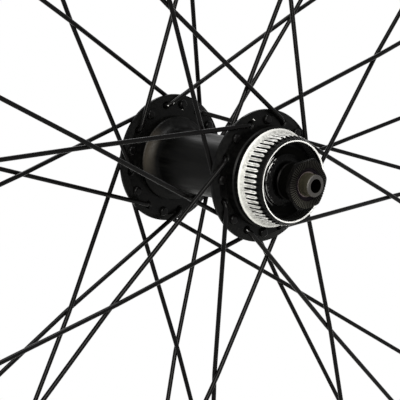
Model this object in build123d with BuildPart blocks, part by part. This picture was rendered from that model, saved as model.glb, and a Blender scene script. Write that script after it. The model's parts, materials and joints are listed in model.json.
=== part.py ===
"""Front bicycle wheel: disc-brake hub with cup-and-cone bearings, 32 laced spokes and a double-walled rim.

The axle lies along Y with the brake-disc side at +Y, Z is up and the origin is the wheel's centre.
Angles around the axle are measured from +Z towards +X. All sizes are in millimetres and degrees.
"""
import os
from math import acos, cos, degrees, radians, sin, sqrt, tan

from build123d import *

# Axle
dropout_width = 100.0
axle_stub_length = 4.0
axle_diameter = 9.0
axle_end_diameter = 8.5
axle_bore = 5.2
axle_end_chamfer = 0.35

# Locknuts and spacers
locknut_across_flats = 18.0
locknut_corner_diameter = 20.4
locknut_face_diameter = 17.6
locknut_slope_angle = 30.0
locknut_flange_thickness = 2.4
locknut_boss_diameter = 14.4
locknut_boss_length = 2.0
locknut_mouth_width = 1.9
locknut_mouth_depth = 0.9
locknut_corner_angle = 33.6
serration_count = 60
serration_width = 0.42
serration_depth = 0.4
spacer_diameter = 14.2
left_spacer_thickness = 4.8
right_spacer_thickness = 3.0
spacer_edge_chamfer = 0.3

# Ball bearings
ball_diameter = 4.7625
ball_count = 10
ball_circle = 16.6
ball_play = 0.1
left_ball_inset = 17.0
right_ball_inset = 14.0
cup_wall = 1.3
cup_floor = 1.2
cup_lip = 0.8
cone_collar_diameter = 14.8
cone_small_end = 1.2
cone_edge_chamfer = 0.4

# Dust caps and seals
dust_cap_step = 0.9
dust_cap_sheet = 0.8
dust_cap_ball_gap = 0.5
dust_cap_collar_gap = 0.6
seal_crown_width = 0.6
seal_lip_width = 2.2
seal_lip_thickness = 0.3
seal_height = 1.4
seal_cap_gap = 0.4

# Hub shell, its flanges measured inwards from the dropout faces
left_flange_inset = 26.0
right_flange_inset = 18.0
flange_diameter = 51.6
flange_thickness = 3.0
flange_bevel_width = 2.6
flange_bevel_depth = 1.0
barrel_diameter = 25.0
barrel_bore = 19.0
flare_diameter = 34.0
flare_height = 2.1
flare_length = 5.5
flare_edge = 0.4
right_boss_wall = 2.0
right_cap_seat = 2.2
shell_edge_chamfer = 0.5

# Splined brake-disc seat, measured inwards from the left dropout face
disc_seat_inset = 18.65
disc_seat_diameter = 38.2
disc_seat_cone = 1.6
disc_boss_inset = 2.6
disc_boss_chamfer = 0.5
spline_diameter = 34.8
spline_root_diameter = 32.9
spline_count = 52
spline_slot_width = 0.9
spline_slot_phase = 0.25
spline_tooth_length = 5.9
spline_lead_length = 2.6
spline_lead_depth = 1.15
lip_edge = 0.4
lip_chamfer = 0.5
lockring_thread_diameter = 30.0
lockring_recess_depth = 6.0

# Spokes
spoke_count = 32
lacing_crosses = 3
first_hole_steps = 1.5
spoke_hole_margin = 3.8
spoke_diameter = 1.8
spoke_hole_play = 0.7
spoke_hole_chamfer = 0.5
spoke_flange_gap = 0.08
spoke_head_diameter = 3.8
spoke_head_height = 1.3
spoke_head_round = 0.95
spoke_head_clearance = 0.5
elbow_radius = 2.5
crossing_radius = 40.0
crossing_gap = 0.1

# Nipples
nipple_diameter = 4.0
nipple_flats = 3.3
nipple_length = 9.0
nipple_round_length = 4.0
nipple_head_diameter = 6.0
nipple_head_height = 3.0
nipple_head_cone = 1.0
nipple_slot_width = 1.3
nipple_slot_depth = 0.9
nipple_hole_play = 0.4

# Rim
bead_seat_diameter = 622.0
rim_width = 25.0
rim_flange_height = 5.5
rim_wall = 1.5
rim_well_depth = 2.5
rim_well_width = 12.0
rim_bead_shelf = 3.0
rim_bed_wall = 1.4
rim_cavity_height = 9.1
rim_spoke_wall = 2.2
rim_nose_width = 13.0
rim_nose_rise = 1.1
rim_sidewall_drop = 7.5
access_hole_diameter = 9.0
valve_hole_diameter = 6.5

# Fits
fit_gap = 0.02
seat_gap = 0.15

# Values worked out from the sizes above
dropout_face = dropout_width / 2
axle_tip = dropout_face + axle_stub_length
axle_radius = axle_diameter / 2
ball_radius = ball_diameter / 2
ball_circle_radius = ball_circle / 2
race_radius = ball_radius + ball_play
cup_radius = ball_circle_radius + race_radius + cup_wall
dust_cap_radius = cup_radius + dust_cap_step
collar_radius = cone_collar_diameter / 2
locknut_back = dropout_face - locknut_flange_thickness - locknut_boss_length
left_ball_plane = dropout_face - left_ball_inset
right_ball_plane = dropout_face - right_ball_inset
cup_back_inset = race_radius + cup_floor
cap_floor_inset = ball_radius + dust_cap_ball_gap
cap_face_inset = cap_floor_inset + dust_cap_sheet

left_flange_plane = dropout_face - left_flange_inset
right_flange_plane = dropout_face - right_flange_inset
disc_seat = dropout_face - disc_seat_inset
spline_start = disc_seat + disc_seat_cone
spline_end = spline_start + spline_tooth_length
lip_plane = spline_end + spline_lead_length + lip_edge
lip_radius = spline_diameter / 2 - spline_lead_depth
spline_pitch = 360 / spline_count

hole_step = 360 / (spoke_count / 2)
rim_step = 360 / spoke_count
first_hole_angle = first_hole_steps * rim_step
lacing_turn = lacing_crosses * hole_step
crossing_turn = (lacing_crosses - 0.5) * hole_step
spoke_circle_radius = flange_diameter / 2 - spoke_hole_margin
spoke_radius = spoke_diameter / 2
spoke_hole_radius = (spoke_diameter + spoke_hole_play) / 2
crossing_lap = spoke_radius + crossing_gap / 2

bead_seat_radius = bead_seat_diameter / 2
well_radius = bead_seat_radius - rim_well_depth
spoke_bed_radius = well_radius - rim_bed_wall - rim_cavity_height
rim_inner_radius = spoke_bed_radius - rim_spoke_wall
rim_outer_radius = bead_seat_radius + rim_flange_height
spoke_end_radius = spoke_bed_radius + nipple_head_height

sides = {"left": 1, "right": -1}
ball_planes = {"left": left_ball_plane, "right": -right_ball_plane}
flange_planes = {"left": left_flange_plane, "right": -right_flange_plane}
spacer_thicknesses = {"left": left_spacer_thickness, "right": right_spacer_thickness}


def across_axle(along):
    """Plane square to the axle: its X points up and its Y points forward."""
    return Plane(origin=(0, along, 0), x_dir=(0, 0, 1), z_dir=(0, 1, 0))


def section(*corners):
    """Closed face through corners given as (radius, place along the axle)."""
    with BuildSketch() as face:
        with BuildLine():
            Polyline(*corners, close=True)
        make_face()
    return face.sketch


def ring_section(inner_radius, outer_radius, start, end):
    """Rectangular section of a plain ring."""
    return section((inner_radius, start), (outer_radius, start), (outer_radius, end), (inner_radius, end))


def wheel_point(radius, angle, along):
    """Point at a radius and an angle around the axle."""
    return Vector(radius * sin(radians(angle)), along, radius * cos(radians(angle)))


def finish(part, name):
    """Names a piece and writes its file."""
    part.label = name
    export_step(part, f"parts/{name}.step")


# Axle and the hardware that stays still on it

def make_axle():
    """Hollow axle: threaded from locknut to locknut, its ends turned down a little for the dropouts."""
    end_radius = axle_end_diameter / 2
    with BuildPart() as axle:
        for side in sides.values():
            profile = section(
                (axle_bore / 2, 0),
                (axle_radius, 0),
                (axle_radius, side * dropout_face),
                (end_radius, side * dropout_face),
                (end_radius, side * (axle_tip - axle_end_chamfer)),
                (end_radius - axle_end_chamfer, side * axle_tip),
                (axle_bore / 2, side * axle_tip),
            )
            revolve(profile, axis=Axis.Y)
    return axle.part


def make_locknut(side):
    """Hexagonal flange on a round boss: corners sloped on both faces, the outer face serrated."""
    flange_back = dropout_face - locknut_flange_thickness
    bore_radius = axle_radius + fit_gap
    mouth_radius = bore_radius + locknut_mouth_width
    corner_circle = locknut_across_flats / cos(radians(30))
    corner_radius = locknut_corner_diameter / 2
    face_radius = locknut_face_diameter / 2
    slope_reach = 2 * (corner_radius - face_radius)
    slope_drop = slope_reach * tan(radians(locknut_slope_angle))
    serration_start = (bore_radius + mouth_radius) / 2
    serration_end = corner_radius
    serration_middle = (serration_start + serration_end) / 2
    with BuildPart() as nut:
        with BuildSketch(across_axle(side * flange_back)):
            RegularPolygon(corner_circle / 2, 6, rotation=locknut_corner_angle)
            Circle(corner_radius, mode=Mode.INTERSECT)
        extrude(amount=side * locknut_flange_thickness)
        for face, drop in ((dropout_face, -slope_drop), (flange_back, slope_drop)):
            corner_slope = section(
                (face_radius, side * face),
                (face_radius + slope_reach, side * face),
                (face_radius + slope_reach, side * (face + drop)),
            )
            revolve(corner_slope, axis=Axis.Y, mode=Mode.SUBTRACT)
        boss = ring_section(0, locknut_boss_diameter / 2, side * locknut_back, side * flange_back)
        bore = ring_section(0, bore_radius, side * locknut_back, side * dropout_face)
        revolve(boss, axis=Axis.Y)
        revolve(bore, axis=Axis.Y, mode=Mode.SUBTRACT)
        mouth = section(
            (0, side * dropout_face),
            (mouth_radius, side * dropout_face),
            (bore_radius, side * (dropout_face - locknut_mouth_depth)),
            (0, side * (dropout_face - locknut_mouth_depth)),
        )
        revolve(mouth, axis=Axis.Y, mode=Mode.SUBTRACT)
        with BuildSketch(across_axle(side * dropout_face)):
            with PolarLocations(serration_middle, serration_count):
                Rectangle(serration_end - serration_start, serration_width)
        extrude(amount=-side * serration_depth, mode=Mode.SUBTRACT)
    return nut.part


def make_spacer(side, cone_end):
    with BuildPart() as spacer:
        bore_radius = axle_radius + fit_gap
        spacer_ring = ring_section(bore_radius, spacer_diameter / 2, side * cone_end, side * locknut_back)
        revolve(spacer_ring, axis=Axis.Y)
        rims = spacer.edges().filter_by(GeomType.CIRCLE).group_by(SortBy.RADIUS)[-1]
        chamfer(rims, spacer_edge_chamfer)
    return spacer.part


def make_cone(side, ball_plane, cone_end):
    """Hollow race that the balls run on, with a round collar out to the spacer."""
    bore_radius = axle_radius + fit_gap
    race_turn = degrees(acos((ball_circle_radius - collar_radius) / race_radius))
    with BuildPart() as cone:
        with BuildSketch():
            with BuildLine():
                race = CenterArc((ball_circle_radius, ball_plane), race_radius, 180, -side * race_turn)
                small_end = ball_plane - side * cone_small_end
                Polyline(
                    race @ 1,
                    (collar_radius, side * (cone_end - cone_edge_chamfer)),
                    (collar_radius - cone_edge_chamfer, side * cone_end),
                    (bore_radius, side * cone_end),
                    (bore_radius, small_end),
                    (ball_circle_radius - race_radius, small_end),
                    race @ 0,
                )
            make_face()
        revolve(axis=Axis.Y)
    return cone.part


def make_seal(side, ball_plane):
    """Rubber ring on the cone's collar, sloping out to a thin lip that runs just off the dust cap."""
    inner_radius = collar_radius + fit_gap
    crown_radius = collar_radius + seal_crown_width
    seal_radius = crown_radius + seal_lip_width
    start = ball_plane + side * (cap_face_inset + seal_cap_gap)
    end = start + side * seal_height
    profile = section(
        (inner_radius, start),
        (seal_radius, start),
        (seal_radius, start + side * seal_lip_thickness),
        (crown_radius, end),
        (inner_radius, end),
    )
    with BuildPart() as seal:
        revolve(profile, axis=Axis.Y)
    return seal.part


# Bearing pieces that turn with the hub shell, and the balls

def make_bearing_cup(side, ball_plane):
    """Pressed-in ring with a quarter-round track on the inboard side of the balls."""
    back = ball_plane - side * cup_back_inset
    front = ball_plane + side * cup_lip
    with BuildPart() as cup:
        with BuildSketch():
            with BuildLine():
                track = CenterArc((ball_circle_radius, ball_plane), race_radius, -90 * side, 90 * side)
                Polyline(
                    track @ 1,
                    (ball_circle_radius + race_radius, front),
                    (cup_radius, front),
                    (cup_radius, back),
                    (ball_circle_radius, back),
                    track @ 0,
                )
            make_face()
        revolve(axis=Axis.Y)
    return cup.part


def make_dust_cap(side, ball_plane):
    """Pressed sheet cap: a skirt that stands on the cup and a flat face around the cone's collar."""
    skirt_start = ball_plane + side * cup_lip
    floor_start = ball_plane + side * cap_floor_inset
    face = ball_plane + side * cap_face_inset
    skirt_inside = dust_cap_radius - dust_cap_sheet
    hole_radius = collar_radius + dust_cap_collar_gap
    profile = section(
        (skirt_inside, skirt_start),
        (dust_cap_radius, skirt_start),
        (dust_cap_radius, face),
        (hole_radius, face),
        (hole_radius, floor_start),
        (skirt_inside, floor_start),
    )
    with BuildPart() as cap:
        revolve(profile, axis=Axis.Y)
    return cap.part


def make_balls(ball_plane):
    with BuildPart(across_axle(ball_plane)) as balls:
        with PolarLocations(ball_circle_radius, ball_count):
            Sphere(ball_radius)
    return balls.part


# Hub shell

def flange_section(plane):
    """Half section of a spoke flange, from the axle out, with both rim edges bevelled."""
    flange_radius = flange_diameter / 2
    bevel_start = flange_radius - flange_bevel_width
    half = flange_thickness / 2
    edge_half = half - flange_bevel_depth
    return section(
        (0, plane - half),
        (bevel_start, plane - half),
        (flange_radius, plane - edge_half),
        (flange_radius, plane + edge_half),
        (bevel_start, plane + half),
        (0, plane + half),
    )


def flare_section(side, plane):
    """Half section of the trumpet that joins the barrel to a flange's inner face."""
    barrel_radius = barrel_diameter / 2
    flare_radius = flare_diameter / 2
    face = plane - side * flange_thickness / 2
    top = face - side * flare_height
    foot = top - side * flare_length
    with BuildSketch() as flare:
        with BuildLine():
            sweep_up = TangentArc((barrel_radius, foot), (flare_radius - flare_edge, top), tangent=(0, side))
            Polyline(
                sweep_up @ 1,
                (flare_radius, top + side * flare_edge),
                (flare_radius, plane),
                (0, plane),
                (0, foot),
                sweep_up @ 0,
            )
        make_face()
    return flare.sketch


def disc_seat_section():
    """Half section of the brake-disc end before its slots: boss inside the heads, cone, spline and lip."""
    boss_radius = spoke_circle_radius - spoke_head_diameter / 2 - spoke_head_clearance
    boss_end = disc_seat - disc_boss_inset
    seat_radius = disc_seat_diameter / 2
    spline_radius = spline_diameter / 2
    return section(
        (0, left_flange_plane),
        (boss_radius, left_flange_plane),
        (boss_radius, boss_end),
        (seat_radius, boss_end + disc_boss_chamfer),
        (seat_radius, disc_seat),
        (spline_radius, spline_start),
        (spline_radius, spline_end),
        (lip_radius, lip_plane - lip_edge),
        (lip_radius - lip_edge, lip_plane),
        (0, lip_plane),
    )


def make_hub_shell():
    right_end = -right_ball_plane - cup_lip - right_cap_seat
    right_boss_radius = dust_cap_radius + right_boss_wall
    thread_radius = lockring_thread_diameter / 2
    recess_floor = lip_plane - lockring_recess_depth
    root_radius = spline_root_diameter / 2
    slot_outside = disc_seat_diameter / 2
    slot_depth = slot_outside - root_radius
    first_slot_angle = spline_slot_phase * spline_pitch
    with BuildPart() as shell:
        # Solid outside
        revolve(ring_section(0, barrel_diameter / 2, -right_flange_plane, left_flange_plane), axis=Axis.Y)
        for name, side in sides.items():
            revolve(flange_section(flange_planes[name]), axis=Axis.Y)
            revolve(flare_section(side, flange_planes[name]), axis=Axis.Y)
        revolve(disc_seat_section(), axis=Axis.Y)
        right_boss = section(
            (0, -right_flange_plane),
            (right_boss_radius, -right_flange_plane),
            (right_boss_radius, right_end + shell_edge_chamfer),
            (right_boss_radius - shell_edge_chamfer, right_end),
            (0, right_end),
        )
        revolve(right_boss, axis=Axis.Y)

        # Bore, bearing seats and the lockring recess
        revolve(ring_section(0, barrel_bore / 2, right_end, lip_plane), axis=Axis.Y, mode=Mode.SUBTRACT)
        for name, side in sides.items():
            plane = ball_planes[name]
            cup_back = plane - side * cup_back_inset
            cup_front = plane + side * cup_lip
            outside = lip_plane if side > 0 else right_end
            cup_seat = ring_section(0, cup_radius + fit_gap, cup_back, outside)
            cap_seat = ring_section(0, dust_cap_radius + fit_gap, cup_front, outside)
            revolve(cup_seat, axis=Axis.Y, mode=Mode.SUBTRACT)
            revolve(cap_seat, axis=Axis.Y, mode=Mode.SUBTRACT)
        recess = section(
            (0, recess_floor),
            (thread_radius, recess_floor),
            (thread_radius, lip_plane - lip_chamfer),
            (thread_radius + lip_chamfer, lip_plane),
            (0, lip_plane),
        )
        revolve(recess, axis=Axis.Y, mode=Mode.SUBTRACT)

        # Slots between the spline teeth, open at the outer end
        with BuildSketch(across_axle(spline_start)):
            with PolarLocations(root_radius + slot_depth / 2, spline_count, start_angle=first_slot_angle):
                Rectangle(slot_depth, spline_slot_width)
        extrude(amount=lip_plane - spline_start, mode=Mode.SUBTRACT)

        # Spoke holes, countersunk on both faces
        for name, side in sides.items():
            plane = flange_planes[name]
            first = first_hole_angle if side > 0 else first_hole_angle + rim_step
            with BuildSketch(across_axle(plane)):
                with PolarLocations(spoke_circle_radius, spoke_count // 2, start_angle=first):
                    Circle(spoke_hole_radius)
            extrude(amount=flange_thickness, both=True, mode=Mode.SUBTRACT)
            for face in (1, -1):
                with BuildSketch(across_axle(plane + face * flange_thickness / 2)):
                    with PolarLocations(spoke_circle_radius, spoke_count // 2, start_angle=first):
                        Circle(spoke_hole_radius + spoke_hole_chamfer)
                extrude(amount=-face * spoke_hole_chamfer, taper=45, mode=Mode.SUBTRACT)
    return shell.part


# Spokes, nipples and rim

def spoke_points(side, plane, run, number):
    """Head seat, elbow, last crossing and threaded end of one spoke.

    A spoke with run 1 lies on the flange's outer face and one with run -1 on its inner face. They turn
    opposite ways, and at the last crossing the first kind passes on the inboard side of the second.
    """
    hub_angle = first_hole_angle + number * 2 * hole_step
    if side < 0:
        hub_angle += rim_step
    if run < 0:
        hub_angle += hole_step
    hub_radius = spoke_circle_radius
    outward = side * run
    end = wheel_point(spoke_end_radius, hub_angle + run * lacing_turn, 0)

    # Place of the last crossing, seen along the axle, where every spoke is straight
    beyond = radians(lacing_turn - crossing_turn)
    turned = radians(crossing_turn)
    crossing_circle = sin(radians(lacing_turn)) / (
        sin(beyond) / hub_radius + sin(turned) / spoke_end_radius)
    crossing_angle = hub_angle + run * crossing_turn
    flat_hub = wheel_point(hub_radius, hub_angle, 0)
    flat_crossing = wheel_point(crossing_circle, crossing_angle, 0)
    crossing_run = (flat_crossing - flat_hub).length
    share = crossing_run / (end - flat_hub).length

    # The elbow stands off the flange far enough for a spoke that heads inboard to clear the bevelled edge
    lean = radians(flat_hub.get_angle(end - flat_hub))
    bevel_radius = flange_diameter / 2 - flange_bevel_width
    bevel_run = sqrt(bevel_radius**2 - (hub_radius * sin(lean)) ** 2) - hub_radius * cos(lean)
    face_offset = flange_thickness / 2 + spoke_radius + spoke_flange_gap
    slope = (abs(plane) * share + crossing_lap + face_offset) / (crossing_run - bevel_run)
    elbow_offset = face_offset + slope * bevel_run

    crossing_along = plane * (1 - share) - outward * crossing_lap
    head = wheel_point(hub_radius, hub_angle, plane - outward * (flange_thickness / 2 + fit_gap))
    elbow = wheel_point(hub_radius, hub_angle, plane + outward * elbow_offset)
    crossing = wheel_point(crossing_circle, crossing_angle, crossing_along)
    return head, elbow, crossing, end


def make_spoke(head, elbow, crossing, end):
    """Round wire with a domed head, a bent elbow at the flange and a slight bend at its last crossing."""
    through = (elbow - head).normalized()
    with BuildPart() as spoke:
        with BuildSketch(Plane(origin=head, z_dir=-through)):
            Circle(spoke_head_diameter / 2)
        extrude(amount=spoke_head_height)
        crown = spoke.faces().sort_by(Axis(origin=head, direction=-through))[-1]
        fillet(crown.edges(), spoke_head_round)
        with BuildLine():
            FilletPolyline(head, elbow, crossing, end, radius=[elbow_radius, crossing_radius])
        with BuildSketch(Plane(origin=head, z_dir=through)):
            Circle(spoke_radius)
        sweep()
    return spoke.part


def nipple_seat(crossing, end):
    """Plane at the foot of a nipple's head, facing out along its spoke."""
    along = (end - crossing).normalized()
    return Plane(origin=end - along * (nipple_head_height - seat_gap), z_dir=along)


def make_nipples(seats):
    """One nipple with a square shank below its slotted head, repeated on every spoke."""
    nipple_radius = nipple_diameter / 2
    head_radius = nipple_head_diameter / 2
    square_length = nipple_length - nipple_round_length
    with BuildPart() as nipple:
        with BuildSketch(Plane.XY.offset(-nipple_length)):
            Circle(nipple_radius)
            Rectangle(nipple_flats, nipple_flats, mode=Mode.INTERSECT)
        extrude(amount=square_length)
        with BuildSketch(Plane.XY.offset(-nipple_round_length)):
            Circle(nipple_radius)
        extrude(amount=nipple_round_length)
        with BuildSketch(Plane.XZ):
            with BuildLine():
                Polyline(
                    (0, 0),
                    (nipple_radius, 0),
                    (head_radius, nipple_head_cone),
                    (head_radius, nipple_head_height),
                    (0, nipple_head_height),
                    close=True,
                )
            make_face()
        revolve(axis=Axis.Z)
        with BuildSketch(Plane.XY.offset(-nipple_length)):
            Circle(spoke_radius + fit_gap)
        extrude(amount=nipple_length + nipple_head_height, mode=Mode.SUBTRACT)
        with BuildSketch(Plane.XY.offset(nipple_head_height)):
            Rectangle(nipple_head_diameter, nipple_slot_width)
        extrude(amount=-nipple_slot_depth, mode=Mode.SUBTRACT)
    with BuildPart() as nipples:
        with Locations(*seats):
            add(nipple.part)
    return nipples.part


def rim_outline():
    """Outer section of the rim: tyre channel outside, sloping walls down to a rounded nose."""
    half = rim_width / 2
    shelf = half - rim_wall - rim_bead_shelf
    with BuildSketch() as outline:
        with BuildLine():
            nose = ThreePointArc(
                (rim_inner_radius + rim_nose_rise, -rim_nose_width / 2),
                (rim_inner_radius, 0),
                (rim_inner_radius + rim_nose_rise, rim_nose_width / 2),
            )
            Polyline(
                nose @ 1,
                (rim_outer_radius - rim_flange_height - rim_sidewall_drop, half),
                (rim_outer_radius, half),
                (rim_outer_radius, half - rim_wall),
                (bead_seat_radius, half - rim_wall),
                (bead_seat_radius, shelf),
                (well_radius, rim_well_width / 2),
                (well_radius, -rim_well_width / 2),
                (bead_seat_radius, -shelf),
                (bead_seat_radius, -half + rim_wall),
                (rim_outer_radius, -half + rim_wall),
                (rim_outer_radius, -half),
                (rim_outer_radius - rim_flange_height - rim_sidewall_drop, -half),
                nose @ 0,
            )
        make_face()
    return outline.sketch


def rim_cavity():
    """Hollow between the tyre bed and the spoke bed."""
    half = rim_width / 2 - rim_wall
    bed_half = rim_nose_width / 2 - rim_wall / 2
    ceiling = well_radius - rim_bed_wall
    knee = rim_outer_radius - rim_flange_height - rim_sidewall_drop
    return section(
        (spoke_bed_radius, -bed_half),
        (knee, -half),
        (ceiling, -half),
        (ceiling, half),
        (knee, half),
        (spoke_bed_radius, bed_half),
    )


def make_rim(seats):
    hole_radius = (nipple_diameter + nipple_hole_play) / 2
    wall_reach = 2 * rim_spoke_wall
    bed_reach = rim_outer_radius - spoke_bed_radius
    with BuildPart() as rim:
        revolve(rim_outline(), axis=Axis.Y)
        revolve(rim_cavity(), axis=Axis.Y, mode=Mode.SUBTRACT)
        with Locations(*seats):
            Cylinder(hole_radius, 2 * wall_reach, mode=Mode.SUBTRACT)
        with Locations(*[seat.offset(rim_cavity_height - rim_bed_wall) for seat in seats]):
            Cylinder(access_hole_diameter / 2, bed_reach, mode=Mode.SUBTRACT,
                     align=(Align.CENTER, Align.CENTER, Align.MIN))
        with BuildSketch(Plane.XY.offset(rim_inner_radius - rim_spoke_wall)):
            Circle(valve_hole_diameter / 2)
        extrude(amount=rim_outer_radius - rim_inner_radius, mode=Mode.SUBTRACT)
    return rim.part


# Build every piece and write it out

os.makedirs("parts", exist_ok=True)

finish(make_axle(), "axle")
finish(make_hub_shell(), "hub_shell")
for name, side in sides.items():
    plane = ball_planes[name]
    cone_end = locknut_back - spacer_thicknesses[name]
    finish(make_locknut(side), f"{name}_locknut")
    finish(make_spacer(side, cone_end), f"{name}_spacer")
    finish(make_cone(side, plane, cone_end), f"{name}_cone")
    finish(make_seal(side, plane), f"{name}_seal")
    finish(make_bearing_cup(side, plane), f"{name}_bearing_cup")
    finish(make_dust_cap(side, plane), f"{name}_dust_cap")
    finish(make_balls(plane), f"{name}_balls")

nipple_seats = []
for name, side in sides.items():
    for face, run in (("outer", 1), ("inner", -1)):
        for number in range(spoke_count // 4):
            head, elbow, crossing, end = spoke_points(side, flange_planes[name], run, number)
            finish(make_spoke(head, elbow, crossing, end), f"spoke_{name}_{face}_{number + 1}")
            nipple_seats.append(nipple_seat(crossing, end))

finish(make_nipples(nipple_seats), "nipples")
finish(make_rim(nipple_seats), "rim")
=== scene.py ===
"""A front bicycle wheel without its tyre, seen at the hub in a white studio.

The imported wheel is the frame: the axle lies along Y with the brake-disc side at +Y, Z is up and the
origin is the wheel's centre. Meshes are in metres in that frame. Sizes below are in millimetres, as a
maker gives them.
"""
import json
import math

import bpy
import numpy as np
from mathutils import Matrix, Vector


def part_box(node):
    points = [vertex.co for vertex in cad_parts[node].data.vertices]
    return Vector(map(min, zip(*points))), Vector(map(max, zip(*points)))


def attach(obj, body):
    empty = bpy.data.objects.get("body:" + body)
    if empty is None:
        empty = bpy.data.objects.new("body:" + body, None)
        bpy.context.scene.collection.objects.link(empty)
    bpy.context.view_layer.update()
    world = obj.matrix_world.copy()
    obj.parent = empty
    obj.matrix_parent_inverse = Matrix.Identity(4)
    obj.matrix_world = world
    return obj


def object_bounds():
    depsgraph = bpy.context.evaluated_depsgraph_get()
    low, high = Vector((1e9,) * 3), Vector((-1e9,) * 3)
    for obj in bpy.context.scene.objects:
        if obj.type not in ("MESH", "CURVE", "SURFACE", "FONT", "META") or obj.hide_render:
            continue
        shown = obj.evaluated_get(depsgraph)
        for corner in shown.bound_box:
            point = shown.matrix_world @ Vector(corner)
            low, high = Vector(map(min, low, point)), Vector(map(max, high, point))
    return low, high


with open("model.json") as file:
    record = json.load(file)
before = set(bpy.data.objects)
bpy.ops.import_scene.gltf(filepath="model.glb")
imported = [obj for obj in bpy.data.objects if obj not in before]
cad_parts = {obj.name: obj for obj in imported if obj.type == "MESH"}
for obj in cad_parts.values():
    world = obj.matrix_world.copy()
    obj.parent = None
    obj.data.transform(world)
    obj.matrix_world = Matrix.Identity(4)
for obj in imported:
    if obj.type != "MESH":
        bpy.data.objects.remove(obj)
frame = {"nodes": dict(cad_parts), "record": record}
cad_low, cad_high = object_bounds()
nodes = frame["nodes"]

MM = 0.001

# Places on the hub, measured inwards from its lip on the brake-disc side
lip_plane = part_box("hub_shell")[1].y / MM
cone_back = lip_plane - 10.5
teeth_back = lip_plane - 8.9
teeth_front = lip_plane - 3.0
bare_front = lip_plane - 2.35
lip_bare_depth = 0.4
lip_inner_radius = 15.3
lip_outer_radius = 15.86
cone_edge_radius = 18.5
cone_edge_width = 0.4

# Teeth of the disc seat: bare on top, with tapered tips and grey middles that are painted shade. Shares are
# of the pitch.
tooth_count = 52
slot_phase = 0.25
tooth_top_radius = 17.4
bare_tooth_depth = 0.12
lead_drop = 1.15
lead_length = 2.6
tip_start = teeth_front - 1.6
tip_slot_start = -0.05
tip_slot_share = 0.33
tip_edge_share = 0.04
tooth_middle_start = 0.32
tooth_middle_end = 0.46
tooth_middle_shade = 0.6

# Marks that run along the axle are noise, drawn out by making the length count for less
draw_line_share = 0.06
smudge_share = 0.3

# Width over which a mask changes: sharp where metal was cut, softer for wear, stains, painted glints and
# painted shade
mask_edge = 0.05
worn_edge = 0.2
soft_edge = 0.3

# Painted highlight on the flare of the far flange, a brown-grey patch on its front: it starts sharply and
# fades along the axle and round it
flare_highlight_start = -28.6
flare_highlight_start_edge = 0.8
flare_highlight_fade = -26.9
flare_highlight_fade_length = 3.4
flare_highlight_angle = 70
flare_highlight_half_width = 42

# Painted glints: white streaks round the seal's lip on its upper front side, with fainter ones further round
glint_angle = 46
glint_half_width = 21
faint_glint_angle = 85
faint_glint_half_width = 60
faint_glint_strength = 0.2
glint_inner_radius = 9.2
glint_outer_radius = 11.2
streak_width = 0.26
break_length = 0.5
break_share = 0.5
streak_start = 0.79
streak_full = 0.84

# Spots where the black coat is rubbed through to bright metal, at spoke elbows and holes, which also serve
# as painted glints: place and radius
rubbed_glint_spots = [
    (4.7, 25.4, 23.0, 0.18), (4.45, 25.5, 22.75, 0.18), (4.2, 25.5, 22.5, 0.2),
    (10.72, 25.85, -19.23, 0.11), (10.66, 26.1, -19.48, 0.1), (10.55, 26.35, -19.77, 0.08),
    (2.2, -29.1, 21.9, 0.25), (0.1, -28.0, 22.8, 0.18), (-6.2, -30.5, 18.9, 0.18),
]

# A blasted metal face scatters most of its light, so it is only part mirror
blasted_metal_share = 0.4

# Locknut: its serrated lands are worn pale and paler on one side, its chamfered corners are painted dark as
# shade, and its wide mouth is stained
nut_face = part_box("left_locknut")[1].y / MM
nut_slope_start = 8.8
nut_slope_angle = 30
worn_face_and_shade_radius = 9.15
worn_land_depth = 0.12
pale_side_angle = 140
pale_side_half_width = 60
stained_mouth_radius = 6.3
bright_mouth_radius = 4.85

# Axle: its ends are faced after plating, and its bore is near black
axle_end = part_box("axle")[1].y / MM
faced_depth = 0.35
dark_bore_radius = 2.7

# Lockring thread cut inside the lip
thread_root_radius = 15.02
thread_crest_radius = 14.5
thread_pitch = 1.0
thread_crest_width = 0.18
thread_flank_share = 0.46
thread_start = lip_plane - 5.6
thread_end = lip_plane - 0.75
thread_run_out = 1 / 3
thread_least_share = 0.02
thread_steps_per_turn = 180

# Camera, as the photograph was taken
camera_azimuth = 140.469
camera_elevation = 12.836
camera_roll = 2.662
camera_distance = 798.375
camera_aim = Vector((9.643, -2.798, -11.847))
camera_lens = 182.386
sensor_width = 36.0

# Floor: the shadow shows inside the first radius, and the paper is white beyond the second
floor_radius = 60000.0
floor_corners = 64
shadow_radius = 380.0
white_radius = 600.0

# Studio walls: heights are those of a direction of length 1, and the light is a share of what is shown
wall_top = 0.1
ceiling_start = 0.8
wall_light = 0.3

# The Mix node has several sockets of one name, so these go by number
value_a, value_b = 2, 3
colour_a, colour_b = 6, 7
mixed_colour = 2


# Nodes and colours

def linear(hex_colour):
    """An sRGB hex colour as linear red, green, blue and alpha."""
    levels = [int(hex_colour[k:k + 2], 16) / 255 for k in (1, 3, 5)]
    return [v / 12.92 if v <= 0.04045 else ((v + 0.055) / 1.055) ** 2.4 for v in levels] + [1.0]


def per_metre(size):
    """Noise scale for blotches that are about size millimetres across."""
    return 1 / (2 * size * MM)


def edge_at(limit, width=mask_edge):
    """Map Range inputs for a mask that rises from 0 to 1 at a limit in millimetres."""
    return {"From Min": (limit - width / 2) * MM, "From Max": (limit + width / 2) * MM}


def add(tree, kind, inputs=None, output=0, **settings):
    """Adds a node and gives back one of its outputs. Inputs that are sockets are linked, others are set."""
    made = tree.nodes.new(kind)
    for name, value in settings.items():
        setattr(made, name, value)
    for key, value in (inputs or {}).items():
        if isinstance(value, bpy.types.NodeSocket):
            tree.links.new(value, made.inputs[key])
        else:
            made.inputs[key].default_value = value
    return made.outputs[output] if made.outputs else made


def start_material(name):
    """An empty node material, its tree and the piece's own coordinates in metres."""
    material = bpy.data.materials.new(name)
    material.use_nodes = True
    tree = material.node_tree
    tree.nodes.clear()
    return material, tree, add(tree, "ShaderNodeTexCoord", output="Object")


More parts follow.
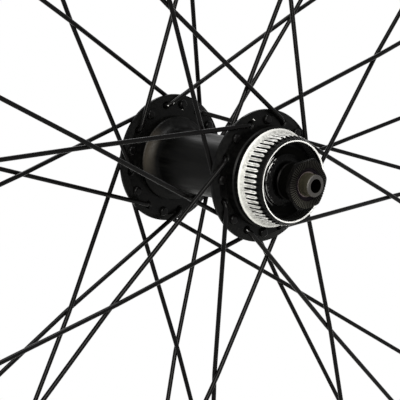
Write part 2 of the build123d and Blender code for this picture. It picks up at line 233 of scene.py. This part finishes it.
def finish_material(tree, inputs):
    """Closes a material with one Principled shader."""
    shader = add(tree, "ShaderNodeBsdfPrincipled", inputs)
    add(tree, "ShaderNodeOutputMaterial", {"Surface": shader})


def around_axle(tree, place):
    """Distance from the axle, place along it, and a point that is the same all round it."""
    across = add(tree, "ShaderNodeVectorMath", {0: place, 1: (1, 0, 1)}, operation="MULTIPLY")
    radius = add(tree, "ShaderNodeVectorMath", {0: across}, "Value", operation="LENGTH")
    along = add(tree, "ShaderNodeSeparateXYZ", {0: place}, "Y")
    return radius, along, add(tree, "ShaderNodeCombineXYZ", {"X": radius, "Y": along})


def between(tree, value, low, high, low_edge=mask_edge, high_edge=mask_edge):
    """1 where a value lies between two limits in millimetres, 0 elsewhere."""
    past_low = add(tree, "ShaderNodeMapRange", {"Value": value, **edge_at(low, low_edge)})
    past_high = add(tree, "ShaderNodeMapRange", {"Value": value, **edge_at(high, high_edge)})
    return add(tree, "ShaderNodeMath", {0: past_low, 1: past_high}, operation="SUBTRACT")


def on_side(tree, place, radius, angle, half_width, most=1.0):
    """A mask for one side of the axle: 0 from the half width outwards, and at its most at the angle.

    Angles are in degrees from up towards forward. The mask follows the cosine of the angle between.
    """
    turn = math.radians(angle)
    middle = (math.sin(turn), 0, math.cos(turn))
    reach = add(tree, "ShaderNodeVectorMath", {0: place, 1: middle}, "Value", operation="DOT_PRODUCT")
    cosine = add(tree, "ShaderNodeMath", {0: reach, 1: radius}, operation="DIVIDE")
    return add(tree, "ShaderNodeMapRange", {
        "Value": cosine, "From Min": math.cos(math.radians(half_width)), "From Max": 1.0, "To Max": most})


def from_slot(tree, place):
    """Distance round the axle from the middle of the disc seat's nearest slot, as a share of the pitch.

    The angle in pitches runs up and down between 0 at a slot and a half at the middle of a tooth.
    """
    across = add(tree, "ShaderNodeSeparateXYZ", {0: place}).node
    angle = add(tree, "ShaderNodeMath", {0: across.outputs["X"], 1: across.outputs["Z"]},
                operation="ARCTAN2")
    pitches = add(tree, "ShaderNodeMath", {0: angle, 1: tooth_count / (2 * math.pi), 2: -slot_phase},
                  operation="MULTIPLY_ADD")
    return add(tree, "ShaderNodeMath", {0: pitches, 1: 0.5}, operation="PINGPONG")


def rubbed_glint_mask(tree, place):
    """1 on the spots that are rubbed through to bright metal and also serve as painted glints, 0 elsewhere.
    """
    rubbed_glint = 0.0
    for x, y, z, size in rubbed_glint_spots:
        centre = (x * MM, y * MM, z * MM)
        away = add(tree, "ShaderNodeVectorMath", {0: place, 1: centre}, "Value", operation="DISTANCE")
        inside = add(tree, "ShaderNodeMapRange", {
            "Value": away, **edge_at(size, size), "To Min": 1.0, "To Max": 0.0})
        rubbed_glint = add(tree, "ShaderNodeMath", {0: rubbed_glint, 1: inside}, operation="MAXIMUM")
    return rubbed_glint


def painted_glint_streaks(tree, place):
    """Share of painted glints: white streaks round the seal's lip on one side, and fainter ones further
    round.
    """
    radius, _, lathe = around_axle(tree, place)
    rings = add(tree, "ShaderNodeTexNoise", {
        "Vector": lathe, "Scale": per_metre(streak_width), "Detail": 0.0})
    breaks = add(tree, "ShaderNodeTexNoise", {
        "Vector": place, "Scale": per_metre(break_length), "Detail": 1.0})
    ragged = add(tree, "ShaderNodeMath", {0: breaks, 1: break_share, 2: rings}, operation="MULTIPLY_ADD")
    high = add(tree, "ShaderNodeMapRange", {
        "Value": ragged, "From Min": streak_start, "From Max": streak_full})
    # The painted glints lie on the upper front side, fainter further round.
    streaks = on_side(tree, place, radius, glint_angle, glint_half_width)
    faint_glints = on_side(tree, place, radius, faint_glint_angle, faint_glint_half_width, faint_glint_strength)
    side = add(tree, "ShaderNodeMath", {0: streaks, 1: faint_glints}, operation="MAXIMUM")
    band = between(tree, radius, glint_inner_radius, glint_outer_radius, soft_edge, soft_edge)
    patch = add(tree, "ShaderNodeMath", {0: side, 1: band}, operation="MULTIPLY")
    return add(tree, "ShaderNodeMath", {0: patch, 1: high}, operation="MULTIPLY")


# Materials

def black_anodised_hub():
    """Aluminium, forged, turned, blasted and dyed black: a deep satin black that swallows light.

    It shows a fine even grain, the faint rings of the lathe and faint draw lines along the barrel, with a
    painted highlight, a brown-grey patch, on the front of the far flare, and at some holes it is rubbed
    through to bright metal that also serves as painted glints. The disc seat and the edge of the lip were
    cut after dyeing, so there the bare metal is pale and matt, with its turning rings, grey smudges on the
    teeth and painted shade along the middle of each tooth.
    """
    material, tree, place = start_material("aluminium_turned_blasted_black_anodised")
    radius, along, lathe = around_axle(tree, place)
    grain = add(tree, "ShaderNodeTexNoise", {"Vector": place, "Scale": per_metre(0.15), "Detail": 2.0})
    cloud = add(tree, "ShaderNodeTexNoise", {"Vector": place, "Scale": per_metre(5.0), "Detail": 3.0})
    rings = add(tree, "ShaderNodeTexNoise", {"Vector": lathe, "Scale": per_metre(0.35), "Detail": 2.0})
    cuts = add(tree, "ShaderNodeTexNoise", {"Vector": lathe, "Scale": per_metre(0.12), "Detail": 1.0})

    along_lead = add(tree, "ShaderNodeMath", {0: along, 1: teeth_front * MM}, operation="SUBTRACT")
    on_lead = add(tree, "ShaderNodeMath", {0: along_lead, 1: 0.0}, operation="MAXIMUM")
    lifted = add(tree, "ShaderNodeMath", {0: on_lead, 1: lead_drop / lead_length, 2: radius},
                 operation="MULTIPLY_ADD")
    on_teeth = add(tree, "ShaderNodeMapRange", {
        "Value": lifted, **edge_at(tooth_top_radius - bare_tooth_depth)})
    slot_gap = add(tree, "ShaderNodeMapRange", {
        "Value": along, "From Min": tip_start * MM, "From Max": bare_front * MM,
        "To Min": tip_slot_start, "To Max": tip_slot_share})
    slot_distance = from_slot(tree, place)
    past_slot = add(tree, "ShaderNodeMath", {0: slot_distance, 1: slot_gap}, operation="SUBTRACT")
    on_tip = add(tree, "ShaderNodeMapRange", {
        "Value": past_slot, "From Min": 0.0, "From Max": tip_edge_share})
    on_bar = add(tree, "ShaderNodeMath", {0: on_teeth, 1: on_tip}, operation="MULTIPLY")
    seat_length = between(tree, along, cone_back, bare_front)
    seat = add(tree, "ShaderNodeMath", {0: seat_length, 1: on_bar}, operation="MULTIPLY")
    at_lip = add(tree, "ShaderNodeMapRange", {"Value": along, **edge_at(lip_plane - lip_bare_depth)})
    lip_width = between(tree, radius, lip_inner_radius, lip_outer_radius)
    lip = add(tree, "ShaderNodeMath", {0: at_lip, 1: lip_width}, operation="MULTIPLY")
    cut_bare = add(tree, "ShaderNodeMath", {0: seat, 1: lip}, operation="MAXIMUM")
    # Rubbed-through spots of bright metal, which also serve as painted glints.
    rubbed_glint = rubbed_glint_mask(tree, place)
    bare = add(tree, "ShaderNodeMath", {0: cut_bare, 1: rubbed_glint}, operation="MAXIMUM")

    # Painted highlight: the front of the far flare is coloured brown-grey, fading along the axle and round
    # it.
    flare_highlight_length = between(tree, along, flare_highlight_start, flare_highlight_fade, flare_highlight_start_edge, flare_highlight_fade_length)
    flare_highlight_side = on_side(tree, place, radius, flare_highlight_angle, flare_highlight_half_width)
    blotch = add(tree, "ShaderNodeMath", {0: flare_highlight_length, 1: flare_highlight_side}, operation="MULTIPLY")

    stretched = add(tree, "ShaderNodeVectorMath", {0: place, 1: (1, draw_line_share, 1)},
                    operation="MULTIPLY")
    draw_lines = add(tree, "ShaderNodeTexNoise", {
        "Vector": stretched, "Scale": per_metre(0.5), "Detail": 2.0})
    drawn = add(tree, "ShaderNodeMapRange", {"Value": draw_lines, "From Min": 0.35, "From Max": 0.65})
    shade = add(tree, "ShaderNodeMath", {0: cloud, 1: drawn}, operation="MULTIPLY")
    dye = add(tree, "ShaderNodeMix", {
        "Factor": shade, colour_a: linear("#020202"), colour_b: linear("#0c0c0b")},
        mixed_colour, data_type="RGBA")
    # Colour of the painted highlight on the far flare.
    dyed_with_highlight = add(tree, "ShaderNodeMix", {
        "Factor": blotch, colour_a: dye, colour_b: linear("#35312b")},
        mixed_colour, data_type="RGBA")
    lengthwise = add(tree, "ShaderNodeVectorMath", {0: place, 1: (1, smudge_share, 1)},
                     operation="MULTIPLY")
    smudges = add(tree, "ShaderNodeTexNoise", {
        "Vector": lengthwise, "Scale": per_metre(0.45), "Detail": 3.0, "Distortion": 0.6})
    smudged = add(tree, "ShaderNodeMapRange", {"Value": smudges, "From Min": 0.35, "From Max": 0.6})
    turned = add(tree, "ShaderNodeMix", {
        "Factor": smudged, colour_a: linear("#90908d"), colour_b: linear("#b8b8b5")},
        mixed_colour, data_type="RGBA")
    at_cone_edge = add(tree, "ShaderNodeMapRange", {
        "Value": radius, **edge_at(cone_edge_radius, cone_edge_width)})
    cone = add(tree, "ShaderNodeMix", {
        "Factor": at_cone_edge, colour_a: turned, colour_b: linear("#cacac7")},
        mixed_colour, data_type="RGBA")
    # Painted shade: each tooth is greyed along its middle, between brighter edges.
    shaded_tooth_middle = add(tree, "ShaderNodeMapRange", {
        "Value": slot_distance, "From Min": tooth_middle_start, "From Max": tooth_middle_end})
    smudged_and_shaded = add(tree, "ShaderNodeMath", {0: shaded_tooth_middle, 1: -tooth_middle_shade, 2: smudged},
                  operation="MULTIPLY_ADD", use_clamp=True)
    tooth = add(tree, "ShaderNodeMix", {
        "Factor": smudged_and_shaded, colour_a: linear("#a2a29f"), colour_b: linear("#fafaf8")},
        mixed_colour, data_type="RGBA")
    at_teeth = add(tree, "ShaderNodeMapRange", {"Value": along, **edge_at(teeth_back)})
    splined = add(tree, "ShaderNodeMix", {
        "Factor": at_teeth, colour_a: cone, colour_b: tooth},
        mixed_colour, data_type="RGBA")
    metal = add(tree, "ShaderNodeMix", {
        "Factor": lip, colour_a: splined, colour_b: linear("#eeeeec")},
        mixed_colour, data_type="RGBA")
    colour = add(tree, "ShaderNodeMix", {
        "Factor": bare, colour_a: dyed_with_highlight, colour_b: metal},
        mixed_colour, data_type="RGBA")
    satin = add(tree, "ShaderNodeMapRange", {"Value": drawn, "To Min": 0.3, "To Max": 0.44})
    matt = add(tree, "ShaderNodeMapRange", {"Value": cuts, "To Min": 0.6, "To Max": 0.75})
    roughness = add(tree, "ShaderNodeMix", {"Factor": bare, value_a: satin, value_b: matt})
    blasted = add(tree, "ShaderNodeMath", {0: rings, 1: 0.7, 2: grain}, operation="MULTIPLY_ADD")
    height = add(tree, "ShaderNodeMix", {"Factor": bare, value_a: blasted, value_b: cuts})
    normal = add(tree, "ShaderNodeBump", {"Height": height, "Strength": 1.0, "Distance": 0.01 * MM})
    metallic = add(tree, "ShaderNodeMath", {0: bare, 1: blasted_metal_share}, operation="MULTIPLY")
    finish_material(tree, {"Base Color": colour, "Metallic": metallic, "Roughness": roughness,
                           "Normal": normal, "Specular IOR Level": 0.075})
    return material


def black_anodised_rim():
    """Extruded aluminium, rolled to a hoop and anodised black: satin black with faint lines along it."""
    material, tree, place = start_material("aluminium_extruded_black_anodised")
    _, _, lathe = around_axle(tree, place)
    die_lines = add(tree, "ShaderNodeTexNoise", {"Vector": lathe, "Scale": per_metre(0.4), "Detail": 2.0})
    cloud = add(tree, "ShaderNodeTexNoise", {"Vector": place, "Scale": per_metre(12.0), "Detail": 3.0})
    colour = add(tree, "ShaderNodeMix", {
        "Factor": cloud, colour_a: linear("#080808"), colour_b: linear("#0d0d0d")},
        mixed_colour, data_type="RGBA")
    roughness = add(tree, "ShaderNodeMapRange", {"Value": die_lines, "To Min": 0.28, "To Max": 0.42})
    normal = add(tree, "ShaderNodeBump", {"Height": die_lines, "Strength": 1.0, "Distance": 0.012 * MM})
    finish_material(tree, {"Base Color": colour, "Roughness": roughness, "Normal": normal,
                           "Specular IOR Level": 0.15})
    return material


def black_coated_wire():
    """Drawn stainless wire with a baked black coat: half gloss black, with long uneven glints along it.

    At some elbows the coat is rubbed through to bright steel, and these spots also serve as painted glints.
    """
    material, tree, place = start_material("stainless_wire_drawn_black_coated")
    peel = add(tree, "ShaderNodeTexNoise", {"Vector": place, "Scale": per_metre(0.35), "Detail": 2.0})
    cloud = add(tree, "ShaderNodeTexNoise", {"Vector": place, "Scale": per_metre(4.0), "Detail": 2.0})
    coat = add(tree, "ShaderNodeMix", {
        "Factor": cloud, colour_a: linear("#040404"), colour_b: linear("#080707")},
        mixed_colour, data_type="RGBA")
    # Rubbed-through spots of bright steel, which also serve as painted glints.
    rubbed_glint = rubbed_glint_mask(tree, place)
    colour = add(tree, "ShaderNodeMix", {
        "Factor": rubbed_glint, colour_a: coat, colour_b: linear("#e6e6e4")},
        mixed_colour, data_type="RGBA")
    roughness = add(tree, "ShaderNodeMapRange", {"Value": peel, "To Min": 0.13, "To Max": 0.22})
    normal = add(tree, "ShaderNodeBump", {"Height": peel, "Strength": 1.0, "Distance": 0.003 * MM})
    finish_material(tree, {"Base Color": colour, "Metallic": rubbed_glint, "Roughness": roughness,
                           "Normal": normal, "Specular IOR Level": 0.08})
    return material


def black_oxide_steel():
    """Turned steel, chemically blackened and oiled: dull black, its serration lands worn grey and paler on
    one side, its chamfered corners painted dark as shade.

    Its mouth is stained a dark purple brown, with a paler edge where it meets the axle.
    """
    material, tree, place = start_material("steel_turned_black_oxide")
    radius, along, lathe = around_axle(tree, place)
    cuts = add(tree, "ShaderNodeTexNoise", {"Vector": lathe, "Scale": per_metre(0.12), "Detail": 1.0})
    cloud = add(tree, "ShaderNodeTexNoise", {"Vector": place, "Scale": per_metre(1.2), "Detail": 3.0})
    oxide = add(tree, "ShaderNodeMix", {
        "Factor": cloud, colour_a: linear("#020202"), colour_b: linear("#080706")},
        mixed_colour, data_type="RGBA")
    reach = add(tree, "ShaderNodeMath", {0: along}, operation="ABSOLUTE")
    past_face = add(tree, "ShaderNodeMath", {0: radius, 1: nut_slope_start * MM}, operation="SUBTRACT")
    on_slope = add(tree, "ShaderNodeMath", {0: past_face, 1: 0.0}, operation="MAXIMUM")
    nut_slope = math.tan(math.radians(nut_slope_angle))
    lifted = add(tree, "ShaderNodeMath", {0: on_slope, 1: nut_slope, 2: reach},
                 operation="MULTIPLY_ADD")
    high = add(tree, "ShaderNodeMapRange", {"Value": lifted, **edge_at(nut_face - worn_land_depth)})
    # Painted shade: past this radius the chamfered corners stay dark oxide instead of worn grey.
    within = add(tree, "ShaderNodeMapRange", {
        "Value": radius, **edge_at(worn_face_and_shade_radius, worn_edge), "To Min": 1.0, "To Max": 0.0})
    land = add(tree, "ShaderNodeMath", {0: high, 1: within}, operation="MULTIPLY")
    # The lands are paler towards this side.
    pale_side = on_side(tree, place, radius, pale_side_angle, pale_side_half_width)
    grey = add(tree, "ShaderNodeMix", {
        "Factor": pale_side, colour_a: linear("#191816"), colour_b: linear("#31302c")},
        mixed_colour, data_type="RGBA")
    worn = add(tree, "ShaderNodeMix", {
        "Factor": land, colour_a: oxide, colour_b: grey},
        mixed_colour, data_type="RGBA")
    mouth = add(tree, "ShaderNodeMapRange", {
        "Value": radius, **edge_at(stained_mouth_radius, soft_edge), "To Min": 1.0, "To Max": 0.0})
    mouth_edge = add(tree, "ShaderNodeMapRange", {
        "Value": radius, **edge_at(bright_mouth_radius, worn_edge)})
    stain = add(tree, "ShaderNodeMix", {
        "Factor": mouth_edge, colour_a: linear("#655b5c"), colour_b: linear("#0d090d")},
        mixed_colour, data_type="RGBA")
    colour = add(tree, "ShaderNodeMix", {
        "Factor": mouth, colour_a: worn, colour_b: stain},
        mixed_colour, data_type="RGBA")
    roughness = add(tree, "ShaderNodeMapRange", {"Value": cuts, "To Min": 0.34, "To Max": 0.5})
    normal = add(tree, "ShaderNodeBump", {"Height": cuts, "Strength": 1.0, "Distance": 0.008 * MM})
    finish_material(tree, {"Base Color": colour, "Roughness": roughness, "Normal": normal,
                           "Specular IOR Level": 0.04})
    return material


def black_lacquered_steel():
    """Steel rings, lacquered black: dead black, a little dusty, with painted glints in white streaks by the
    seal.
    """
    material, tree, place = start_material("steel_black_lacquered")
    dust = add(tree, "ShaderNodeTexNoise", {"Vector": place, "Scale": per_metre(0.5), "Detail": 3.0})
    lacquer = add(tree, "ShaderNodeMix", {
        "Factor": dust, colour_a: linear("#010101"), colour_b: linear("#040403")},
        mixed_colour, data_type="RGBA")
    # Painted highlight: white streaks of glints by the seal.
    painted_glints = painted_glint_streaks(tree, place)
    colour = add(tree, "ShaderNodeMix", {
        "Factor": painted_glints, colour_a: lacquer, colour_b: linear("#ffffff")},
        mixed_colour, data_type="RGBA")
    roughness = add(tree, "ShaderNodeMapRange", {"Value": dust, "To Min": 0.5, "To Max": 0.7})
    normal = add(tree, "ShaderNodeBump", {"Height": dust, "Strength": 1.0, "Distance": 0.02 * MM})
    finish_material(tree, {"Base Color": colour, "Roughness": roughness, "Normal": normal,
                           "Specular IOR Level": 0.02})
    return material


def zinc_plated_axle():
    """Turned steel, zinc plated and gone dull: brown-grey metal with fine rings and handling marks.

    The ends are faced after plating and are a plainer grey. The bore is near black.
    """
    material, tree, place = start_material("steel_turned_zinc_plated_dull")
    radius, along, lathe = around_axle(tree, place)
    cuts = add(tree, "ShaderNodeTexNoise", {"Vector": lathe, "Scale": per_metre(0.15), "Detail": 1.0})
    marks = add(tree, "ShaderNodeTexNoise", {"Vector": place, "Scale": per_metre(1.0), "Detail": 3.0})
    plated = add(tree, "ShaderNodeMix", {
        "Factor": marks, colour_a: linear("#3f3c2f"), colour_b: linear("#524e42")},
        mixed_colour, data_type="RGBA")
    reach = add(tree, "ShaderNodeMath", {0: along}, operation="ABSOLUTE")
    faced = add(tree, "ShaderNodeMapRange", {"Value": reach, **edge_at(axle_end - faced_depth)})
    steel = add(tree, "ShaderNodeMix", {
        "Factor": faced, colour_a: plated, colour_b: linear("#4c4a48")},
        mixed_colour, data_type="RGBA")
    # Inside this radius the bore is coloured near black.
    outside = add(tree, "ShaderNodeMapRange", {"Value": radius, **edge_at(dark_bore_radius)})
    colour = add(tree, "ShaderNodeMix", {
        "Factor": outside, colour_a: linear("#0b0a08"), colour_b: steel},
        mixed_colour, data_type="RGBA")
    roughness = add(tree, "ShaderNodeMapRange", {"Value": cuts, "To Min": 0.52, "To Max": 0.66})
    normal = add(tree, "ShaderNodeBump", {"Height": cuts, "Strength": 1.0, "Distance": 0.01 * MM})
    finish_material(tree, {"Base Color": colour, "Metallic": 1.0, "Roughness": roughness,
                           "Normal": normal})
    return material


def black_plated_brass():
    """Turned brass, black plated: half-gloss black, faintly uneven where it is worn."""
    material, tree, place = start_material("brass_turned_black_plated")
    wear = add(tree, "ShaderNodeTexNoise", {"Vector": place, "Scale": per_metre(0.6), "Detail": 3.0})
    colour = add(tree, "ShaderNodeMix", {
        "Factor": wear, colour_a: linear("#0b0b0b"), colour_b: linear("#161513")},
        mixed_colour, data_type="RGBA")
    roughness = add(tree, "ShaderNodeMapRange", {"Value": wear, "To Min": 0.22, "To Max": 0.36})
    normal = add(tree, "ShaderNodeBump", {"Height": wear, "Strength": 1.0, "Distance": 0.01 * MM})
    finish_material(tree, {"Base Color": colour, "Roughness": roughness, "Normal": normal,
                           "Specular IOR Level": 0.3})
    return material


def oiled_bearing_steel():
    """Hardened chromium steel, ground and filmed with dark grease: a dim mirror with grinding rings."""
    material, tree, place = start_material("bearing_steel_ground_oiled")
    _, _, lathe = around_axle(tree, place)
    grinding = add(tree, "ShaderNodeTexNoise", {"Vector": lathe, "Scale": per_metre(0.1), "Detail": 1.0})
    film = add(tree, "ShaderNodeTexNoise", {"Vector": place, "Scale": per_metre(1.5), "Detail": 3.0})
    colour = add(tree, "ShaderNodeMix", {
        "Factor": film, colour_a: linear("#171616"), colour_b: linear("#2a2928")},
        mixed_colour, data_type="RGBA")
    roughness = add(tree, "ShaderNodeMapRange", {"Value": grinding, "To Min": 0.24, "To Max": 0.36})
    finish_material(tree, {"Base Color": colour, "Metallic": 1.0, "Roughness": roughness})
    return material


def greased_cones():
    """Hardened chromium steel cones under old black grease: nearly black, with a soft shine at the edges."""
    material, tree, place = start_material("bearing_steel_ground_black_grease")
    film = add(tree, "ShaderNodeTexNoise", {"Vector": place, "Scale": per_metre(0.8), "Detail": 3.0})
    colour = add(tree, "ShaderNodeMix", {
        "Factor": film, colour_a: linear("#070707"), colour_b: linear("#111010")},
        mixed_colour, data_type="RGBA")
    roughness = add(tree, "ShaderNodeMapRange", {"Value": film, "To Min": 0.25, "To Max": 0.45})
    finish_material(tree, {"Base Color": colour, "Metallic": 1.0, "Roughness": roughness})
    return material


def polished_balls():
    """Hardened chromium steel balls, lapped and polished: a bright mirror under a smear of grease."""
    material, tree, place = start_material("bearing_steel_lapped_polished")
    blotch = add(tree, "ShaderNodeTexNoise", {"Vector": place, "Scale": per_metre(0.9), "Detail": 2.0})
    colour = add(tree, "ShaderNodeMix", {
        "Factor": blotch, colour_a: linear("#b4b4b6"), colour_b: linear("#cacaca")},
        mixed_colour, data_type="RGBA")
    roughness = add(tree, "ShaderNodeMapRange", {"Value": blotch, "To Min": 0.06, "To Max": 0.16})
    finish_material(tree, {"Base Color": colour, "Metallic": 1.0, "Roughness": roughness})
    return material


def rubber_with_painted_glints():
    """Moulded nitrile rubber: dull black, faintly uneven, with painted glints in white streaks round its
    lip.
    """
    material, tree, place = start_material("nitrile_rubber_moulded_painted_glints")
    film = add(tree, "ShaderNodeTexNoise", {"Vector": place, "Scale": per_metre(0.45), "Detail": 2.0})
    # Painted highlight: white streaks of glints round the lip.
    painted_glints = painted_glint_streaks(tree, place)
    colour = add(tree, "ShaderNodeMix", {
        "Factor": painted_glints, colour_a: linear("#030303"), colour_b: linear("#ffffff")},
        mixed_colour, data_type="RGBA")
    roughness = add(tree, "ShaderNodeMapRange", {"Value": film, "To Min": 0.15, "To Max": 0.5})
    normal = add(tree, "ShaderNodeBump", {"Height": film, "Strength": 1.0, "Distance": 0.2 * MM})
    finish_material(tree, {"Base Color": colour, "Roughness": roughness, "Normal": normal,
                           "Specular IOR Level": 0.06})
    return material


# Pieces

def add_piece(name, vertices, faces, material, body):
    """Puts a surface into the scene as a smooth mesh that rides on a body."""
    mesh = bpy.data.meshes.new(name)
    mesh.from_pydata(vertices.tolist(), [], faces)
    mesh.polygons.foreach_set("use_smooth", np.ones(len(mesh.polygons), bool))
    mesh.materials.append(material)
    piece = bpy.data.objects.new(name, mesh)
    bpy.context.scene.collection.objects.link(piece)
    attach(piece, body)


def lockring_thread(material):
    """The ridge of the lockring thread inside the lip.

    A profile of four corners, two at the root and two at the crest, is carried along a helix around the
    axle: the angle is the number of turns, and the place is the start plus the pitch times the turns. The
    ridge grows out of the wall and dies back into it over a part of a turn at each end.
    """
    turns = (thread_end - thread_start) / thread_pitch
    steps = int(turns * thread_steps_per_turn)
    share = np.linspace(0, 1, steps + 1)
    angle = 2 * math.pi * turns * share
    along = thread_start + (thread_end - thread_start) * share
    grown = np.clip(np.minimum(share, 1 - share) * turns / thread_run_out, thread_least_share, 1)
    root = np.full_like(share, thread_root_radius)
    crest = root - (thread_root_radius - thread_crest_radius) * grown
    root_half = thread_pitch * thread_flank_share * grown
    crest_half = thread_crest_width / 2 * grown
    radius = np.stack([root, crest, crest, root], axis=1)
    place = along[:, None] + np.stack([-root_half, -crest_half, crest_half, root_half], axis=1)
    points = np.stack([radius * np.sin(angle)[:, None], place, radius * np.cos(angle)[:, None]], axis=2)
    corners = np.arange((steps + 1) * 4).reshape(steps + 1, 4)
    nearer, further = corners[:-1], corners[1:]
    sides = np.stack([nearer, np.roll(nearer, -1, 1), np.roll(further, -1, 1), further], axis=2)
    faces = sides.reshape(-1, 4).tolist() + [corners[0][::-1].tolist(), corners[-1].tolist()]
    add_piece("lockring_thread", points.reshape(-1, 3) * MM, faces, material, "wheel")


# Finish of every piece

hub_finish = black_anodised_hub()
bearing_finish = oiled_bearing_steel()
slot_finishes = {
    "hub_aluminium": hub_finish,
    "rim_aluminium": black_anodised_rim(),
    "spoke_steel": black_coated_wire(),
    "nipple_brass": black_plated_brass(),
    "axle_steel": zinc_plated_axle(),
    "nut_steel": black_oxide_steel(),
    "bearing_steel": bearing_finish,
    "seal_rubber": rubber_with_painted_glints(),
}
lacquer_finish = black_lacquered_steel()
ball_finish = polished_balls()
cone_finish = greased_cones()
own_finishes = {
    "left_dust_cap": lacquer_finish,
    "right_dust_cap": lacquer_finish,
    "left_spacer": lacquer_finish,
    "right_spacer": lacquer_finish,
    "left_cone": cone_finish,
    "right_cone": cone_finish,
    "left_balls": ball_finish,
    "right_balls": ball_finish,
}
for part in frame["record"]["subparts"]:
    finish = own_finishes.get(part["node"], slot_finishes[part["material_slot"]])
    mesh = nodes[part["node"]].data
    mesh.materials.clear()
    mesh.materials.append(finish)

lockring_thread(hub_finish)


# Studio

def looking_back(azimuth, elevation):
    """Direction from the hub to a viewer at an azimuth and elevation in degrees; azimuth 0 is at -Y."""
    turn, rise = math.radians(azimuth), math.radians(elevation)
    return Vector((math.sin(turn) * math.cos(rise), -math.cos(turn) * math.cos(rise), math.sin(rise)))


def background_rays(tree):
    """1 for rays that show the background: from the camera, off metal and through glass."""
    ray = add(tree, "ShaderNodeLightPath").node
    seen = add(tree, "ShaderNodeMath", {0: ray.outputs["Is Camera Ray"], 1: ray.outputs["Is Glossy Ray"]},
               operation="MAXIMUM")
    return add(tree, "ShaderNodeMath", {0: seen, 1: ray.outputs["Is Transmission Ray"]},
               operation="MAXIMUM")


def make_floor():
    """A wide disc of pale paper under the rim, with the shadow near the wheel and white further out."""
    turn = np.arange(floor_corners) * 2 * math.pi / floor_corners
    edge = np.stack([np.cos(turn) * floor_radius * MM, np.sin(turn) * floor_radius * MM,
                     np.full_like(turn, cad_low.z)], axis=1)
    mesh = bpy.data.meshes.new("floor")
    mesh.from_pydata(edge.tolist(), [], [list(range(floor_corners))])
    material, tree, place = start_material("white_paper")
    flat = add(tree, "ShaderNodeVectorMath", {0: place, 1: (1, 1, 0)}, operation="MULTIPLY")
    distance = add(tree, "ShaderNodeVectorMath", {0: flat}, "Value", operation="LENGTH")
    far = add(tree, "ShaderNodeMapRange", {
        "Value": distance, "From Min": shadow_radius * MM, "From Max": white_radius * MM},
        interpolation_type="SMOOTHSTEP")
    white = add(tree, "ShaderNodeMath", {0: background_rays(tree), 1: far}, operation="MULTIPLY")
    paper = add(tree, "ShaderNodeBsdfDiffuse", {"Color": linear("#f6f6f4")})
    glow = add(tree, "ShaderNodeEmission", {"Color": linear("#ffffff"), "Strength": 1.0})
    surface = add(tree, "ShaderNodeMixShader", {0: white, 1: paper, 2: glow})
    add(tree, "ShaderNodeOutputMaterial", {"Surface": surface})
    mesh.materials.append(material)
    floor = bpy.data.objects.new("floor", mesh)
    bpy.context.scene.collection.objects.link(floor)


def make_world():
    """White studio walls that fade to a greyer ceiling. They light the wheel less than they show."""
    world = bpy.data.worlds.new("studio")
    bpy.context.scene.world = world
    world.use_nodes = True
    tree = world.node_tree
    tree.nodes.clear()
    direction = add(tree, "ShaderNodeTexCoord", output="Generated")
    height = add(tree, "ShaderNodeSeparateXYZ", {0: direction}, "Z")
    rise = add(tree, "ShaderNodeMapRange", {
        "Value": height, "From Min": wall_top, "From Max": ceiling_start})
    colour = add(tree, "ShaderNodeMix", {
        "Factor": rise, colour_a: linear("#ffffff"), colour_b: linear("#d0d0d0")},
        mixed_colour, data_type="RGBA")
    strength = add(tree, "ShaderNodeMapRange", {
        "Value": background_rays(tree), "To Min": wall_light, "To Max": 1.0})
    surround = add(tree, "ShaderNodeBackground", {"Color": colour, "Strength": strength})
    add(tree, "ShaderNodeOutputWorld", {"Surface": surround})


def make_softbox(name, azimuth, elevation, distance, width, radiance, colour):
    """A square lamp that faces the hub, its distance and width in metres."""
    light = bpy.data.lights.new(name, "AREA")
    light.shape = "SQUARE"
    light.size = width
    light.energy = radiance * math.pi * width**2
    light.color = linear(colour)[:3]
    lamp = bpy.data.objects.new(name, light)
    back = looking_back(azimuth, elevation)
    turn = back.to_track_quat("Z", "Y").to_matrix().to_4x4()
    lamp.matrix_world = Matrix.Translation(back * distance) @ turn
    lamp.visible_camera = False
    bpy.context.scene.collection.objects.link(lamp)


def make_camera():
    """The photograph's camera. A positive roll turns the picture anticlockwise."""
    data = bpy.data.cameras.new("camera")
    data.sensor_width = sensor_width
    data.lens = camera_lens
    data.clip_start = 0.01
    data.clip_end = 200.0
    camera = bpy.data.objects.new("camera", data)
    back = looking_back(camera_azimuth, camera_elevation)
    turn = back.to_track_quat("Z", "Y").to_matrix().to_4x4()
    roll = Matrix.Rotation(math.radians(-camera_roll), 4, "Z")
    camera.matrix_world = Matrix.Translation((camera_aim + back * camera_distance) * MM) @ turn @ roll
    bpy.context.scene.collection.objects.link(camera)
    bpy.context.scene.camera = camera


make_floor()
make_world()
make_softbox("front_softbox", azimuth=142, elevation=25, distance=2.0, width=1.23, radiance=10.0,
             colour="#fffdf7")
make_softbox("top_softbox", azimuth=190, elevation=75, distance=2.0, width=0.9, radiance=8.5,
             colour="#ffffff")
make_softbox("back_softbox", azimuth=330, elevation=45, distance=2.0, width=1.0, radiance=4.2,
             colour="#ffffff")
make_camera()
bpy.context.scene.view_settings.view_transform = "Standard"
